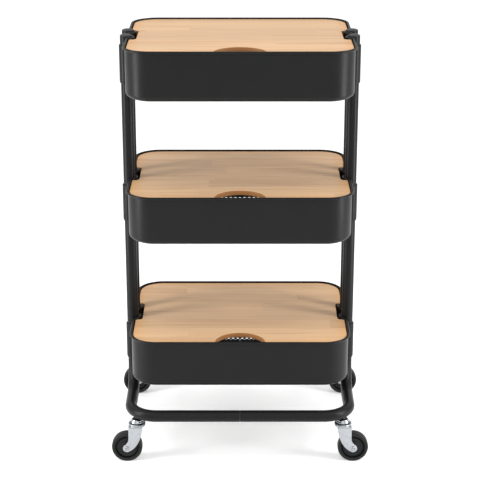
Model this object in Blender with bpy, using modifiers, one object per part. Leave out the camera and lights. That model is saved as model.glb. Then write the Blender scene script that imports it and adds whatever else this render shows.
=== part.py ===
"""Three-tier rolling utility cart.

Four bent steel tubes carry three sheet-steel trays with mesh floors and inset wooden lids, on four swivel
casters. Metres, +Z up. The origin is on the floor under the middle of the cart, and the front faces -Y.
"""

from math import acos, cos, pi, radians, sin

import bmesh
import bpy
from mathutils import Matrix, Vector

# ---------------------------------------------------------------- driving dimensions

# Trays: pressed sheet with an outward rolled rim and a fluted side wall that lets the tube pair pass
TRAY_WIDTH = 0.400
TRAY_DEPTH = 0.310
TRAY_HEIGHT = 0.0897
TRAY_CORNER_R = 0.046
SHEET = 0.0008
BEAD_PROUD = 0.0037
FLUTE_EDGE_R = 0.003
BOTTOM_EDGE_RISE = 0.010
BOTTOM_EDGE_FRONT = 0.010
BOTTOM_EDGE_SIDE = 0.016
FLOOR_LIP = 0.012
FLOOR_SETBACK = 0.0024
MESH_THICKNESS = 0.0008

# Heights: the lowest tray stands just over the frame's bends, the others follow by their spacings
LOWEST_TRAY_LIFT = 0.0038
LOWER_SPACING = 0.2751
UPPER_SPACING = 0.2599

# Frame: bent round tube, two uprights a side, whose axes stand a little outside the tray's side wall
TUBE_R = 0.0108
TUBE_WALL = 0.001
TUBE_PAIR_SPACING = 0.049
TUBE_OUTSET = 0.0036
TUBE_ABOVE_RIM = 0.001
BASE_BAR_OUTSET = 0.0115
BEND_R = 0.050
JOINER_LENGTH = 0.070
CAP_PLUG_LENGTH = 0.014
CAP_EDGE = 0.0007
CAP_DOME = 0.0023

# Saddle clamps that hold each tray against its pair of tubes
CLAMP_THICKNESS = 0.0019
CLAMP_HEIGHT = 0.070
CLAMP_BELOW_RIM = 0.0146
CLAMP_FLANGE = 0.010
CLAMP_BEND_R = 0.0012
SCREW_R = 0.0024
SCREW_HEAD_R = 0.0046
SCREW_HEAD_HEIGHT = 0.0024
NUT_R = 0.0047
NUT_HEIGHT = 0.0038

# Lids: wooden boards that drop into the trays
LID_THICKNESS = 0.009
LID_BELOW_RIM = 0.0025
LID_GAP = 0.002
LID_NOTCH_GAP = 0.003
LID_NOTCH_CORNER_R = 0.008
LID_MOUTH_CORNER_R = 0.003
NOTCH_CORNER_SHARE = 0.7
NOTCH_MOUTH_SHARE = 0.25
FINGER_CUT_R = 0.046
REST_LENGTH = 0.022
REST_DEPTH = 0.009
REST_DROP = 0.012
REST_SHEET = 0.0012
REST_FROM_MIDDLE = 0.120

# Swivel casters
CASTER_HEIGHT = 0.0867
CASTER_TURN = radians(41)
CASTER_TRAIL = 0.0192
WHEEL_R = 0.0285
TYRE_WIDTH = 0.019
TYRE_SEAT_R = 0.022
TYRE_SHOULDER = 0.0022
TREAD_WIDTH = 0.0086
TREAD_CROWN = 0.0004
RIM_INSET = 0.0008
RIM_WALL = 0.002
RIM_FLARE = 0.001
WEB_THICKNESS = 0.0108
HUB_R = 0.0080
HUB_FLARE = 0.0015
AXLE_R = 0.003
AXLE_HEAD_R = 0.0047
AXLE_HEAD_WIDTH = 0.0018
FORK_SHEET = 0.0018
FORK_SIDE_GAP = 0.0018
FORK_TRAILING_X = 0.0157
FORK_LEADING_X = 0.0110
FORK_BOSS_R = 0.0074
FORK_KNEE_SHARE = 0.52
CROWN_R = 0.016
CROWN_EDGE = 0.0014
CROWN_HEIGHT = 0.0072
CUP_R = 0.01225
CUP_HEIGHT = 0.0060
CUP_EDGE = 0.0014
STEM_R = 0.004
KINGPIN_R = 0.0036
KINGPIN_HEAD_R = 0.0062
KINGPIN_HEAD_HEIGHT = 0.0018
SOCKET_R = 0.00585
SOCKET_HEIGHT = 0.0029

# Clearances
TOUCH = 0.0003
TUBE_FIT = 0.0006
INSIDE_TUBE_FIT = 0.0008
RUNNING_FIT = 0.0004
HUB_FIT = 0.00035
SCREW_FIT = 0.0005
SOCKET_FIT = 0.0005
TYRE_FIT = 0.0008

# Facets round a full circle, or along a named arc
TUBE_BEVEL_RESOLUTION = 4
BEND_STEPS = 5
CORNER_STEPS = 5
FLUTE_STEPS = 5
EDGE_STEPS = 2
SADDLE_STEPS = 8
TURNED_STEPS = 12
TYRE_STEPS = 20

# ---------------------------------------------------------------- derived places

SIDE_X = TRAY_WIDTH / 2
FRONT_Y = TRAY_DEPTH / 2
TUBE_X = SIDE_X + TUBE_OUTSET
TUBE_Y = TUBE_PAIR_SPACING / 2
BAR_Y = FRONT_Y + BASE_BAR_OUTSET
BAR_Z = CASTER_HEIGHT + TUBE_R
BAR_CORNER_X = TUBE_X - BEND_R
BAR_CORNER_Y = BAR_Y - BEND_R
FLUTE_R = TUBE_R + TUBE_FIT + BEAD_PROUD
FLUTE_TURN = acos((TUBE_OUTSET + FLUTE_EDGE_R) / (FLUTE_R + FLUTE_EDGE_R))
FLUTE_REACH = (FLUTE_R + FLUTE_EDGE_R) * sin(FLUTE_TURN)
LOWER_RIM = BAR_Z + BEND_R + LOWEST_TRAY_LIFT + TRAY_HEIGHT
MIDDLE_RIM = LOWER_RIM + LOWER_SPACING
UPPER_RIM = MIDDLE_RIM + UPPER_SPACING
RIMS = {"upper": UPPER_RIM, "middle": MIDDLE_RIM, "lower": LOWER_RIM}
TUBE_TOP = UPPER_RIM + TUBE_ABOVE_RIM
CASTER_X = BAR_CORNER_X + BEND_R * cos(CASTER_TURN)
CASTER_Y = BAR_CORNER_Y + BEND_R * sin(CASTER_TURN)
SCREW_DROP = CLAMP_BELOW_RIM + CLAMP_HEIGHT / 2

SIDES = {"left": -1, "right": 1}
ENDS = {"front": -1, "rear": 1}

# ---------------------------------------------------------------- scene, materials and small tools

for leftover in list(bpy.data.objects):
    bpy.data.objects.remove(leftover, do_unlink=True)


def new_collection(name):
    collection = bpy.data.collections.get(name) or bpy.data.collections.new(name)
    if name not in bpy.context.scene.collection.children:
        bpy.context.scene.collection.children.link(collection)
    return collection


PARTS = new_collection("rolling_tray_cart")
CUTTERS = new_collection("cutters")


def material(name, colour, roughness, metallic):
    made = bpy.data.materials.new(name)
    made.use_nodes = True
    shader = made.node_tree.nodes["Principled BSDF"]
    shader.inputs["Base Color"].default_value = (*colour, 1.0)
    shader.inputs["Roughness"].default_value = roughness
    shader.inputs["Metallic"].default_value = metallic
    return made


POWDER_COAT = material("powder_coat", (0.035, 0.036, 0.038), 0.42, 0.0)
LID_WOOD = material("lid_wood", (0.66, 0.45, 0.27), 0.5, 0.0)
ZINC = material("zinc", (0.62, 0.63, 0.65), 0.3, 1.0)
BLACK_PLASTIC = material("black_plastic", (0.02, 0.02, 0.021), 0.45, 0.0)
TYRE_RUBBER = material("tyre_rubber", (0.022, 0.022, 0.023), 0.6, 0.0)
CAP_PLASTIC = material("cap_plastic", (0.03, 0.03, 0.032), 0.4, 0.0)


def add_object(name, data, surface, collection=PARTS, location=(0, 0, 0), parent=None):
    made = bpy.data.objects.new(name, data)
    collection.objects.link(made)
    made.location = location
    made.parent = parent
    if surface is not None and not data.materials:
        data.materials.append(surface)
    return made


def mesh_of(name, points, faces=(), edges=()):
    mesh = bpy.data.meshes.new(name)
    mesh.from_pydata([tuple(point) for point in points], edges, faces)
    return mesh


def facing_out(mesh):
    work = bmesh.new()
    work.from_mesh(mesh)
    bmesh.ops.recalc_face_normals(work, faces=work.faces)
    work.to_mesh(mesh)
    work.free()
    return mesh


def shade_round(mesh, sharpest=radians(35)):
    mesh.shade_smooth()
    mesh.set_sharp_from_angle(angle=sharpest)
    return mesh


def baked(source):
    """The evaluated mesh of an object, modifiers included, with the source object removed."""
    bpy.context.view_layer.update()
    depsgraph = bpy.context.evaluated_depsgraph_get()
    mesh = bpy.data.meshes.new_from_object(source.evaluated_get(depsgraph))
    mesh.transform(source.matrix_world)
    work = bmesh.new()
    work.from_mesh(mesh)
    bmesh.ops.remove_doubles(work, verts=work.verts, dist=1e-6)
    work.to_mesh(mesh)
    work.free()
    bpy.data.objects.remove(source, do_unlink=True)
    return mesh


def cutter_from(name, mesh):
    made = add_object(name, mesh, None, CUTTERS)
    made.hide_render = True
    made.display_type = "WIRE"
    return made


def combine(target, tool, operation):
    boolean = target.modifiers.new(tool.name, "BOOLEAN")
    boolean.operation = operation
    boolean.solver = "EXACT"
    boolean.object = tool


def rods(name, places, radius, length, steps=TURNED_STEPS):
    """Closed cylinders as one mesh; each place is (centre, rotation matrix of the cylinder's axis)."""
    work = bmesh.new()
    for centre, turn in places:
        bmesh.ops.create_cone(
            work,
            cap_ends=True,
            segments=steps,
            radius1=radius,
            radius2=radius,
            depth=length,
            matrix=Matrix.Translation(centre) @ turn,
        )
    mesh = bpy.data.meshes.new(name)
    work.to_mesh(mesh)
    work.free()
    return mesh


def turned(name, profile, surface, steps=TURNED_STEPS, closed=False, location=(0, 0, 0), parent=None):
    """A turned piece: (radius, height) points run down the outer side; closed for a ring with a bore."""
    points = [(radius, 0.0, height) for radius, height in profile]
    edges = [(i, i + 1) for i in range(len(points) - 1)]
    if closed:
        edges.append((len(points) - 1, 0))
    made = add_object(name, mesh_of(name, points, edges=edges), surface, location=location, parent=parent)
    screw = made.modifiers.new("turn", "SCREW")
    screw.axis = "Z"
    screw.angle = 2 * pi
    screw.steps = steps
    screw.render_steps = steps
    screw.use_merge_vertices = True
    screw.merge_threshold = 1e-5
    screw.use_smooth_shade = True
    return made


def flat_outline(name, points, thickness, surface, collection=PARTS, location=(0, 0, 0)):
    """A flat outline in XY, filled and given a thickness about its own plane."""
    curve = bpy.data.curves.new(name, "CURVE")
    curve.dimensions = "2D"
    curve.fill_mode = "BOTH"
    curve.extrude = thickness / 2
    spline = curve.splines.new("POLY")
    spline.points.add(len(points) - 1)
    for place, point in zip(spline.points, points):
        place.co = (point[0], point[1], 0.0, 1.0)
    spline.use_cyclic_u = True
    return add_object(name, curve, surface, collection, location)


def arc(centre, radius, start, end, steps):
    """Points along an arc in the plane, both ends included; angles in radians."""
    angles = [start + (end - start) * i / steps for i in range(steps + 1)]
    return [Vector((centre[0] + radius * cos(a), centre[1] + radius * sin(a))) for a in angles]


def around(quarter):
    """A loop of plane points round all four quarters, from one quarter that starts on +X and ends on +Y."""
    loop = list(quarter)
    loop += [Vector((-p.x, p.y)) for p in reversed(quarter[:-1])]
    loop += [Vector((-p.x, -p.y)) for p in quarter[1:]]
    loop += [Vector((p.x, -p.y)) for p in reversed(quarter[1:-1])]
    return loop


# ---------------------------------------------------------------- frame


def frame_path(side, end):
    """Half a base bar, its plan corner, a short side run, the bend up and the upright."""
    path = [Vector((side * TOUCH / 2, end * BAR_Y, BAR_Z))]
    for p in arc((BAR_CORNER_X, BAR_CORNER_Y), BEND_R, pi / 2, 0, BEND_STEPS):
        path.append(Vector((side * p.x, end * p.y, BAR_Z)))
    for p in arc((TUBE_Y + BEND_R, BAR_Z + BEND_R), BEND_R, -pi / 2, -pi, BEND_STEPS):
        path.append(Vector((side * TUBE_X, end * p.x, p.y)))
    path.append(Vector((side * TUBE_X, end * TUBE_Y, TUBE_TOP)))
    return path


def hollow_tube(name, path, radius, wall, surface):
    curve = bpy.data.curves.new(name, "CURVE")
    curve.dimensions = "3D"
    curve.bevel_depth = radius
    curve.bevel_resolution = TUBE_BEVEL_RESOLUTION
    spline = curve.splines.new("POLY")
    spline.points.add(len(path) - 1)
    for place, point in zip(spline.points, path):
        place.co = (*point, 1.0)
    source = add_object(name + "_path", curve, surface)
    made = add_object(name, shade_round(baked(source)), surface)
    solidify = made.modifiers.new("wall", "SOLIDIFY")
    solidify.thickness = wall
    solidify.offset = -1
    return made


def build_frame():
    for end_name, end in ENDS.items():
        for side_name, side in SIDES.items():
            hollow_tube(f"frame_tube_{end_name}_{side_name}", frame_path(side, end), TUBE_R, TUBE_WALL,
                        POWDER_COAT)
            build_cap(f"tube_cap_{end_name}_{side_name}", side, end)
        reach = JOINER_LENGTH / 2
        path = [Vector((x, end * BAR_Y, BAR_Z)) for x in (-reach, reach)]
        joiner_r = TUBE_R - TUBE_WALL - INSIDE_TUBE_FIT
        hollow_tube(f"base_joiner_{end_name}", path, joiner_r, TUBE_WALL, ZINC)


def build_cap(name, side, end):
    """A domed plug in the open top of an upright."""
    plug_r = TUBE_R - TUBE_WALL - INSIDE_TUBE_FIT
    profile = [
        (0.0, CAP_EDGE + CAP_DOME),
        (TUBE_R * 0.60, CAP_EDGE + CAP_DOME * 0.78),
        (TUBE_R * 0.90, CAP_EDGE + CAP_DOME * 0.34),
        (TUBE_R, CAP_EDGE),
        (TUBE_R, 0.0),
        (plug_r, 0.0),
        (plug_r, -CAP_PLUG_LENGTH),
        (0.0, -CAP_PLUG_LENGTH),
    ]
    turned(name, profile, CAP_PLASTIC, location=(side * TUBE_X, end * TUBE_Y, TUBE_TOP + TOUCH))


# ---------------------------------------------------------------- trays


def wall_quarter():
    """One quarter of the tray wall's outer line, as (point, outward normal, foot of the bottom edge)."""
    quarter = []

    def add(point, normal, foot):
        quarter.append((point, normal, foot))

    def side_foot(point):
        return Vector((SIDE_X - BOTTOM_EDGE_SIDE, point.y))

    add(Vector((SIDE_X, 0.0)), Vector((1.0, 0.0)), Vector((SIDE_X - BOTTOM_EDGE_SIDE, 0.0)))
    edge_x = SIDE_X - FLUTE_EDGE_R
    inner_edge = Vector((edge_x, TUBE_Y - FLUTE_REACH))
    outer_edge = Vector((edge_x, TUBE_Y + FLUTE_REACH))
    tube = Vector((TUBE_X, TUBE_Y))
    for point in arc(inner_edge, FLUTE_EDGE_R, 0, FLUTE_TURN, EDGE_STEPS):
        add(point, (point - inner_edge).normalized(), side_foot(point))
    for point in arc(tube, FLUTE_R, pi + FLUTE_TURN, pi - FLUTE_TURN, FLUTE_STEPS)[1:]:
        add(point, (tube - point).normalized(), side_foot(point))
    for point in arc(outer_edge, FLUTE_EDGE_R, -FLUTE_TURN, 0, EDGE_STEPS)[1:]:
        add(point, (point - outer_edge).normalized(), side_foot(point))
    corner = Vector((SIDE_X - TRAY_CORNER_R, FRONT_Y - TRAY_CORNER_R))
    for point in arc(corner, TRAY_CORNER_R, 0, pi / 2, CORNER_STEPS):
        normal = (point - corner).normalized()
        foot = corner + Vector((
            (TRAY_CORNER_R - BOTTOM_EDGE_SIDE) * normal.x,
            (TRAY_CORNER_R - BOTTOM_EDGE_FRONT) * normal.y,
        ))
        add(point, normal, foot)
    add(Vector((0.0, FRONT_Y)), Vector((0.0, 1.0)), Vector((0.0, FRONT_Y - BOTTOM_EDGE_FRONT)))
    return quarter


def lip_of(foot):
    """The inner edge of the floor lip, level with a foot of the bottom edge."""
    corner = Vector((SIDE_X - TRAY_CORNER_R, FRONT_Y - TRAY_CORNER_R))
    if foot.y < corner.y:
        return Vector((foot.x - FLOOR_LIP, foot.y))
    if foot.x < corner.x:
        return Vector((foot.x, foot.y - FLOOR_LIP))
    return foot - (foot - corner).normalized() * FLOOR_LIP


def build_tray_mesh():
    """The shell with its rim at z = 0: a section of bead, wall, bottom edge and lip, carried round the wall."""
    quarter = wall_quarter()
    wall = around([row[0] for row in quarter])
    normals = around([row[1] for row in quarter])
    feet = around([row[2] for row in quarter])
    lips = around([lip_of(row[2]) for row in quarter])
    bead_r = (BEAD_PROUD + SHEET) / 2
    bead_out = BEAD_PROUD - bead_r
    under = -acos(-bead_out / bead_r)
    bottom = -TRAY_HEIGHT
    rings = []

    def ring(points, z):
        rings.append([(p.x, p.y, z) for p in points])

    for angle in (pi, radians(120), radians(60), 0.0, under / 2, under):
        offset = bead_out + bead_r * cos(angle)
        ring([p + n * offset for p, n in zip(wall, normals)], -bead_r + bead_r * sin(angle))
    for angle in (0.0, radians(45), radians(90)):
        draw = 1 - cos(angle)
        ring([p + (f - p) * draw for p, f in zip(wall, feet)], bottom + BOTTOM_EDGE_RISE * (1 - sin(angle)))
    ring(lips, bottom)
    ring(lips, bottom + SHEET)
    inside = [p - n * SHEET for p, n in zip(wall, normals)]
    for angle in (radians(90), radians(45), 0.0):
        draw = 1 - cos(angle)
        rise = SHEET + (BOTTOM_EDGE_RISE - SHEET) * (1 - sin(angle))
        ring([p + (f - p) * draw for p, f in zip(inside, feet)], bottom + rise)
    count = len(wall)
    points = [point for loop in rings for point in loop]
    faces = []
    for i in range(len(rings)):
        j = (i + 1) % len(rings)
        for k in range(count):
            m = (k + 1) % count
            faces.append((i * count + k, i * count + m, j * count + m, j * count + k))
    shell = add_object("tray_blank", facing_out(mesh_of("tray_blank", points, faces)), POWDER_COAT)
    combine(shell, build_lid_rests(), "UNION")
    turn = Matrix.Rotation(pi / 2, 4, "Y")
    nut_x = SIDE_X - SHEET / 2 - NUT_HEIGHT / 2
    nuts = [(Vector((side * nut_x, 0.0, -SCREW_DROP)), turn) for side in SIDES.values()]
    combine(shell, cutter_from("weld_nuts", rods("weld_nuts", nuts, NUT_R, NUT_HEIGHT, 6)), "UNION")
    holes = [(Vector((side * SIDE_X, 0.0, -SCREW_DROP)), turn) for side in SIDES.values()]
    holes = rods("tray_screw_holes", holes, SCREW_R + SCREW_FIT, 4 * NUT_HEIGHT)
    combine(shell, cutter_from("tray_screw_holes", holes), "DIFFERENCE")
    return shade_round(baked(shell))


def clamp_path():
    """Plan line of a saddle clamp's inner face on the +X side: flange, tube, web, tube, flange."""
    face_x = SIDE_X + TOUCH
    half_step = pi / (2 * SADDLE_STEPS)
    saddle_r = (TUBE_R + TOUCH) / cos(half_step)
    bend_r = CLAMP_BEND_R + CLAMP_THICKNESS
    bend_x = face_x + bend_r
    reach = saddle_r + bend_r
    half = [Vector((face_x, 0.0))]
    half += arc((bend_x, TUBE_Y - reach), bend_r, -pi, -1.5 * pi, EDGE_STEPS)
    half += arc((TUBE_X, TUBE_Y), saddle_r, -pi / 2, pi / 2, SADDLE_STEPS)
    half += arc((bend_x, TUBE_Y + reach), bend_r, -pi / 2, -pi, EDGE_STEPS)
    half.append(Vector((face_x, TUBE_Y + reach + CLAMP_FLANGE)))
    return [Vector((p.x, -p.y)) for p in reversed(half[1:])] + half


def build_clamp_mesh():
    """A saddle clamp for the +X side with its top at z = 0."""
    path = clamp_path()
    points = [(p.x, p.y, z) for z in (-CLAMP_HEIGHT, 0.0) for p in path]
    count = len(path)
    faces = [(i, i + 1, count + i + 1, count + i) for i in range(count - 1)]
    clamp = add_object("clamp_blank", mesh_of("clamp_blank", points, faces), POWDER_COAT)
    solidify = clamp.modifiers.new("sheet", "SOLIDIFY")
    solidify.thickness = CLAMP_THICKNESS
    solidify.offset = 1
    solidify.use_even_offset = True
    turn = Matrix.Rotation(pi / 2, 4, "Y")
    place = [(Vector((SIDE_X, 0.0, -CLAMP_HEIGHT / 2)), turn)]
    hole = rods("clamp_screw_hole", place, SCREW_R + SCREW_FIT, 4 * NUT_HEIGHT)
    combine(clamp, cutter_from("clamp_screw_hole", hole), "DIFFERENCE")
    return shade_round(baked(clamp))


def lid_quarter():
    """One quarter of a lid's outline without the finger cut-out, from +X at the notch to +Y."""
    half_x = SIDE_X - SHEET - LID_GAP
    half_y = FRONT_Y - SHEET - LID_GAP
    notch_x = TUBE_X - FLUTE_R - SHEET - LID_NOTCH_GAP
    notch_y = TUBE_Y + FLUTE_REACH
    corner_r = TRAY_CORNER_R - SHEET - LID_GAP
    quarter = [Vector((notch_x, 0.0))]
    inner_r = min(LID_NOTCH_CORNER_R, (half_x - notch_x) * NOTCH_CORNER_SHARE)
    quarter += arc((notch_x + inner_r, notch_y - inner_r), inner_r, pi, pi / 2, 3)
    mouth_r = min(LID_MOUTH_CORNER_R, (half_x - notch_x) * NOTCH_MOUTH_SHARE)
    quarter += arc((half_x - mouth_r, notch_y + mouth_r), mouth_r, -pi / 2, 0, 2)
    quarter += arc((half_x - corner_r, half_y - corner_r), corner_r, 0, pi / 2, CORNER_STEPS + 1)
    quarter.append(Vector((0.0, half_y)))
    return quarter


def lid_outline():
    """The whole outline, with a half-round finger cut-out in the middle of the front edge."""
    loop = around(lid_quarter())
    front = -(FRONT_Y - SHEET - LID_GAP)
    cut = arc((0.0, front), FINGER_CUT_R, pi, 0, 12)
    middle = loop.index(min(loop, key=lambda p: (p - Vector((0.0, front))).length))
    return loop[:middle] + cut + loop[middle + 1:]


def floor_outline():
    """The mesh floor covers the lip up to the foot of the bottom edge, less a small clearance."""
    corner_x = TRAY_CORNER_R - BOTTOM_EDGE_SIDE - FLOOR_SETBACK
    corner_y = TRAY_CORNER_R - BOTTOM_EDGE_FRONT - FLOOR_SETBACK
    corner = Vector((SIDE_X - TRAY_CORNER_R, FRONT_Y - TRAY_CORNER_R))
    angles = [i * pi / 2 / CORNER_STEPS for i in range(CORNER_STEPS + 1)]
    quarter = [Vector((corner.x + corner_x, 0.0))]
    quarter += [corner + Vector((corner_x * cos(a), corner_y * sin(a))) for a in angles]
    quarter.append(Vector((0.0, corner.y + corner_y)))
    return around(quarter)


def build_lid_rests():
    """Four small angle tabs, welded to the front and back walls, that carry a lid; rim at z = 0."""
    top = -(LID_BELOW_RIM + LID_THICKNESS + TOUCH)
    wall_y = FRONT_Y - SHEET / 2
    section = [
        (wall_y - REST_DEPTH, top),
        (wall_y, top),
        (wall_y, top - REST_DROP),
        (wall_y - REST_SHEET, top - REST_DROP),
        (wall_y - REST_SHEET, top - REST_SHEET),
        (wall_y - REST_DEPTH, top - REST_SHEET),
    ]
    points = []
    faces = []
    for end in ENDS.values():
        for side in SIDES.values():
            first = len(points)
            for shift in (-REST_LENGTH / 2, REST_LENGTH / 2):
                points += [(side * REST_FROM_MIDDLE + shift, end * y, z) for y, z in section]
            count = len(section)
            faces.append([first + i for i in range(count)])
            faces.append([first + count + i for i in reversed(range(count))])
            for i in range(count):
                j = (i + 1) % count
                faces.append([first + i, first + count + i, first + count + j, first + j])
    return cutter_from("lid_rests", facing_out(mesh_of("lid_rests", points, faces)))


def build_screw(name, side, rim):
    """A pan-head screw through the clamp web and the tray wall, into the weld nut."""
    grip = CLAMP_THICKNESS + TOUCH + SHEET
    web_x = SIDE_X + TOUCH + CLAMP_THICKNESS
    profile = [
        (0.0, TOUCH + SCREW_HEAD_HEIGHT),
        (SCREW_HEAD_R * 0.72, TOUCH + SCREW_HEAD_HEIGHT * 0.8),
        (SCREW_HEAD_R, TOUCH + SCREW_HEAD_HEIGHT * 0.3),
        (SCREW_HEAD_R, TOUCH),
        (SCREW_R, TOUCH),
        (SCREW_R, -grip - NUT_HEIGHT - SCREW_R),
        (0.0, -grip - NUT_HEIGHT - SCREW_R),
    ]
    screw = turned(name, profile, ZINC, location=(side * web_x, 0.0, rim - SCREW_DROP))
    screw.rotation_euler.y = side * pi / 2


def build_trays():
    shell = build_tray_mesh()
    clamp = build_clamp_mesh()
    for level, rim in RIMS.items():
        height = (0.0, 0.0, rim)
        add_object(f"tray_{level}", shell, POWDER_COAT, location=height)
        floor_z = rim - TRAY_HEIGHT + SHEET + TOUCH + MESH_THICKNESS / 2
        flat_outline(f"mesh_floor_{level}", floor_outline(), MESH_THICKNESS, POWDER_COAT,
                     location=(0.0, 0.0, floor_z))
        lid_z = rim - LID_BELOW_RIM - LID_THICKNESS / 2
        flat_outline(f"lid_{level}", lid_outline(), LID_THICKNESS, LID_WOOD, location=(0.0, 0.0, lid_z))
        for side_name, side in SIDES.items():
            made = add_object(f"clamp_{level}_{side_name}", clamp, POWDER_COAT,
                              location=(0.0, 0.0, rim - CLAMP_BELOW_RIM))
            made.rotation_euler.z = 0.0 if side > 0 else pi
            build_screw(f"clamp_screw_{level}_{side_name}", side, rim)


# ---------------------------------------------------------------- casters
# A caster's own frame: its swivel axis is local Z, the floor is z = 0, and the wheel trails towards +X.

SOCKET_TOP = CASTER_HEIGHT - TOUCH
SOCKET_BOTTOM = SOCKET_TOP - SOCKET_HEIGHT
CUP_TOP = SOCKET_BOTTOM - TOUCH
CUP_BOTTOM = CUP_TOP - CUP_HEIGHT
CROWN_TOP = CUP_BOTTOM - TOUCH
CROWN_BOTTOM = CROWN_TOP - CROWN_HEIGHT
FORK_GAP = TYRE_WIDTH / 2 + FORK_SIDE_GAP
LEG_TOP = CROWN_BOTTOM + FORK_SHEET
FORK_KNEE_ABOVE_AXLE = (CROWN_BOTTOM - WHEEL_R) * FORK_KNEE_SHARE


def bow(start, pull, end, steps):
    """Points along a quadratic curve from start to end, pulled towards a third point; both ends included."""
    shares = [i / steps for i in range(steps + 1)]
    return [start * (1 - t) ** 2 + pull * 2 * t * (1 - t) + end * t ** 2 for t in shares]


def fork_outline():
    """A fork leg from the side, x along the trail and y up, its edges bowed down to the axle boss."""
    boss = Vector((CASTER_TRAIL, WHEEL_R))
    leading_top = Vector((-FORK_LEADING_X, LEG_TOP))
    trailing_top = Vector((FORK_TRAILING_X, LEG_TOP))
    trailing_knee = Vector((FORK_TRAILING_X, WHEEL_R + FORK_KNEE_ABOVE_AXLE))
    round_boss = arc(boss, FORK_BOSS_R, radians(-125), radians(50), 6)
    leading_pull = Vector((-FORK_LEADING_X / 2, WHEEL_R + FORK_BOSS_R * 0.4))
    trailing_pull = Vector((FORK_TRAILING_X, WHEEL_R + FORK_KNEE_ABOVE_AXLE / 2))
    outline = bow(leading_top, leading_pull, round_boss[0], 5)
    outline += round_boss[1:]
    outline += bow(round_boss[-1], trailing_pull, trailing_knee, 3)[1:]
    outline.append(trailing_top)
    return outline


def build_fork_mesh():
    """Crown and two legs of pressed sheet, with holes for the kingpin and the axle."""
    width = 2 * (FORK_GAP + FORK_SHEET)
    blank = flat_outline("fork_outline", fork_outline(), width, ZINC)
    blank.rotation_euler.x = pi / 2
    fork = add_object("fork_blank", facing_out(baked(blank)), ZINC)
    crown = turned("fork_crown", [
        (CROWN_R - CROWN_EDGE, CROWN_TOP),
        (CROWN_R, CROWN_TOP - CROWN_EDGE),
        (CROWN_R, CROWN_BOTTOM),
        (KINGPIN_R, CROWN_BOTTOM),
        (KINGPIN_R, CROWN_TOP),
    ], ZINC, closed=True)
    crown = cutter_from("crown", baked(crown))
    combine(fork, crown, "UNION")
    work = bmesh.new()
    reach = CASTER_HEIGHT
    slot_size = Matrix.Diagonal((2 * reach, 2 * FORK_GAP, reach, 1))
    slot = Matrix.Translation((0.0, 0.0, CROWN_BOTTOM - reach / 2)) @ slot_size
    bmesh.ops.create_cube(work, size=1.0, matrix=slot)
    slot_mesh = bpy.data.meshes.new("wheel_slot")
    work.to_mesh(slot_mesh)
    work.free()
    combine(fork, cutter_from("wheel_slot", slot_mesh), "DIFFERENCE")
    upright = [(Vector((0.0, 0.0, CROWN_TOP)), Matrix.Identity(4))]
    pin_hole = rods("kingpin_hole", upright, KINGPIN_R + RUNNING_FIT, 4 * CROWN_HEIGHT)
    combine(fork, cutter_from("kingpin_hole", pin_hole), "DIFFERENCE")
    across = [(Vector((CASTER_TRAIL, 0.0, WHEEL_R)), Matrix.Rotation(pi / 2, 4, "X"))]
    axle_hole = rods("axle_hole", across, AXLE_R + RUNNING_FIT, 4 * FORK_GAP)
    combine(fork, cutter_from("axle_hole", axle_hole), "DIFFERENCE")
    return shade_round(baked(fork))


def build_caster(name, side, end, fork_mesh):
    pivot = bpy.data.objects.new(f"caster_pivot_{name}", None)
    PARTS.objects.link(pivot)
    pivot.location = (side * CASTER_X, end * CASTER_Y, 0.0)
    pivot.rotation_euler.z = 0.0 if side > 0 else pi
    turned(f"caster_socket_{name}", [
        (SOCKET_R, SOCKET_TOP),
        (SOCKET_R, SOCKET_BOTTOM),
        (STEM_R + SOCKET_FIT, SOCKET_BOTTOM),
        (STEM_R + SOCKET_FIT, SOCKET_TOP),
    ], POWDER_COAT, closed=True, parent=pivot)
    head_top = CROWN_BOTTOM - TOUCH
    turned(f"caster_stem_{name}", [
        (0.0, SOCKET_TOP),
        (STEM_R, SOCKET_TOP),
        (STEM_R, CUP_TOP),
        (CUP_R - CUP_EDGE, CUP_TOP),
        (CUP_R, CUP_TOP - CUP_EDGE),
        (CUP_R, CUP_BOTTOM),
        (KINGPIN_R, CUP_BOTTOM),
        (KINGPIN_R, head_top),
        (KINGPIN_HEAD_R, head_top),
        (KINGPIN_HEAD_R * 0.7, head_top - KINGPIN_HEAD_HEIGHT),
        (0.0, head_top - KINGPIN_HEAD_HEIGHT),
    ], ZINC, parent=pivot)
    add_object(f"caster_fork_{name}", fork_mesh, ZINC, parent=pivot)
    axle_place = (CASTER_TRAIL, 0.0, WHEEL_R)
    leg_face = FORK_GAP + FORK_SHEET + TOUCH
    half = [(0.0, leg_face + AXLE_HEAD_WIDTH), (AXLE_HEAD_R * 0.75, leg_face + AXLE_HEAD_WIDTH),
            (AXLE_HEAD_R, leg_face + AXLE_HEAD_WIDTH * 0.4), (AXLE_HEAD_R, leg_face), (AXLE_R, leg_face)]
    mirrored = [(r, -z) for r, z in reversed(half)]
    axle = turned(f"caster_axle_{name}", half + mirrored, ZINC, location=axle_place, parent=pivot)
    core = turned(f"wheel_core_{name}", wheel_core_profile(), BLACK_PLASTIC, closed=True,
                  location=axle_place, parent=pivot)
    tyre = turned(f"wheel_tyre_{name}", tyre_profile(), TYRE_RUBBER, TYRE_STEPS, closed=True,
                  location=axle_place, parent=pivot)
    for piece in (axle, core, tyre):
        piece.rotation_euler.x = pi / 2


def wheel_core_profile():
    """Hub, web and rim; the bore runs on the axle."""
    hub_half = FORK_GAP - HUB_FIT
    rim_half = TYRE_WIDTH / 2 - RIM_INSET
    web_half = WEB_THICKNESS / 2
    bore = AXLE_R + RUNNING_FIT
    half = [
        (bore, hub_half),
        (HUB_R, hub_half),
        (HUB_R + HUB_FLARE, web_half),
        (TYRE_SEAT_R - RIM_WALL - RIM_FLARE, web_half),
        (TYRE_SEAT_R - RIM_WALL, rim_half),
        (TYRE_SEAT_R, rim_half),
    ]
    return half + [(r, -z) for r, z in reversed(half)]


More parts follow.
